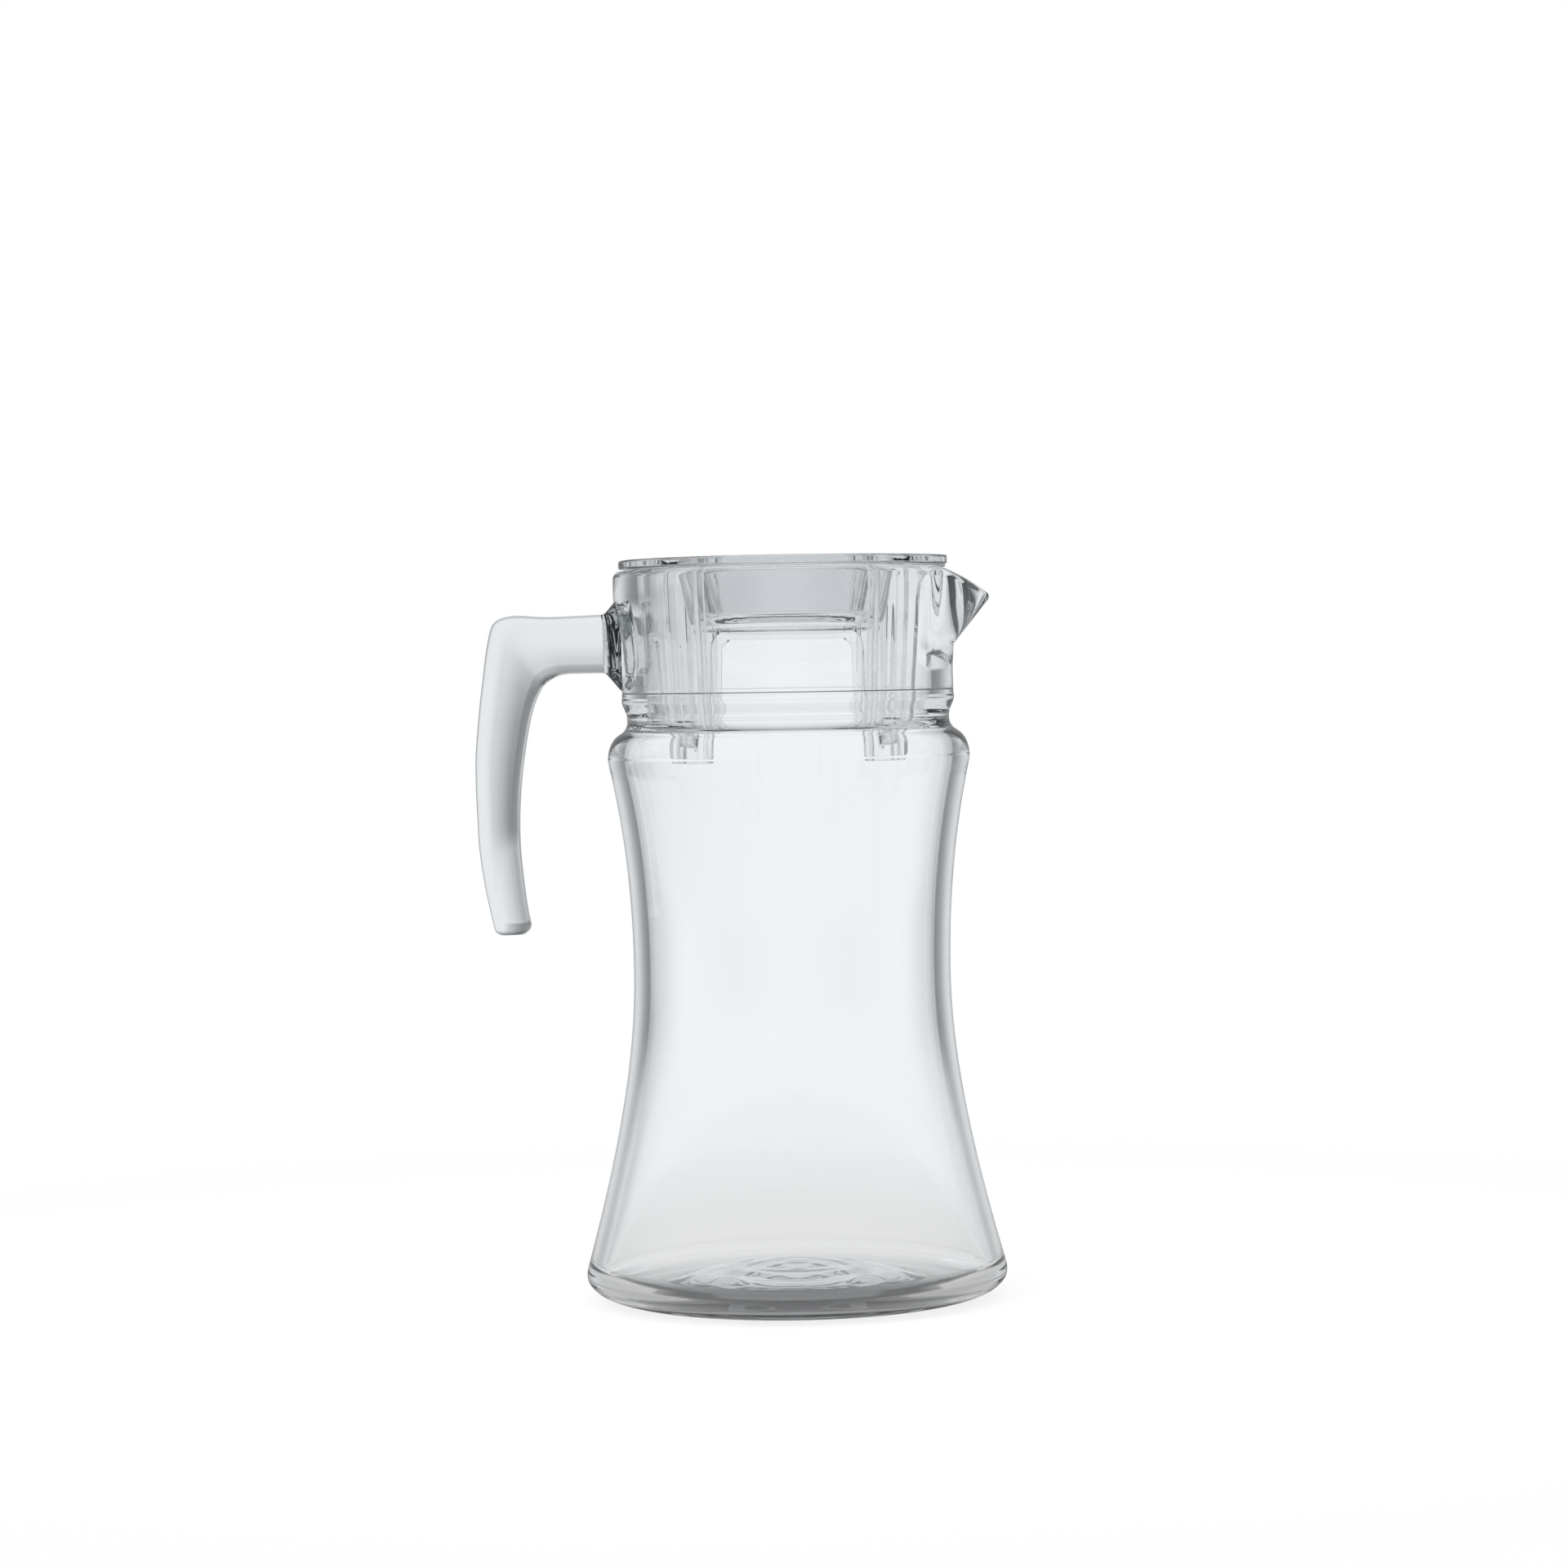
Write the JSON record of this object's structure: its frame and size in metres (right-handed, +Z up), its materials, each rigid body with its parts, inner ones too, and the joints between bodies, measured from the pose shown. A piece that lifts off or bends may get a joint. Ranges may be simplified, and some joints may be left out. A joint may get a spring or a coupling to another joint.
{
  "type": "glass pitcher with lid",
  "caption": "Waisted clear glass pitcher with a pressed pouring lip, an open hook handle and a clear plastic lid that turns in the collar and lifts off.",
  "frame": {"origin": "centre of the jug's foot on its axis, at the plane it stands on", "axes": "+Z up along the jug's axis, +X towards the pouring lip, -X towards the handle"},
  "size_m": [0.1699, 0.1368, 0.2402],
  "materials": {
    "jug_glass": "clear polished glass",
    "lid_plastic": "clear glossy moulded plastic"
  },
  "bodies": {
    "jug": {"base": "jug_glass", "lower_body": "jug_glass", "upper_body": "jug_glass", "shoulder": "jug_glass", "neck_ring": "jug_glass", "collar": "jug_glass", "pouring_lip": "jug_glass", "handle_root": "jug_glass", "handle_arm": "jug_glass", "handle_grip": "jug_glass"},
    "lid_lift": {"seat_ring": "lid_plastic"},
    "lid": {"lid_plate": "lid_plastic", "grip_bar": "lid_plastic", "pocket_front": "lid_plastic", "pocket_back": "lid_plastic", "skirt_band": "lid_plastic", "leg_lip_front": "lid_plastic", "leg_lip_back": "lid_plastic", "leg_handle_front": "lid_plastic", "leg_handle_back": "lid_plastic", "catch_lip_front": "lid_plastic", "catch_lip_back": "lid_plastic", "catch_handle_front": "lid_plastic", "catch_handle_back": "lid_plastic"}
  },
  "joints": [
    {"name": "lid_off", "type": "slide", "parent": "jug", "child": "lid_lift", "axis": [0, 0, 1], "range_m": [0, 0.08]},
    {"name": "lid_turn", "type": "hinge", "parent": "lid_lift", "child": "lid", "pos_m": [0, 0, 0.24], "axis": [0, 0, 1], "continuous": true}
  ]
}
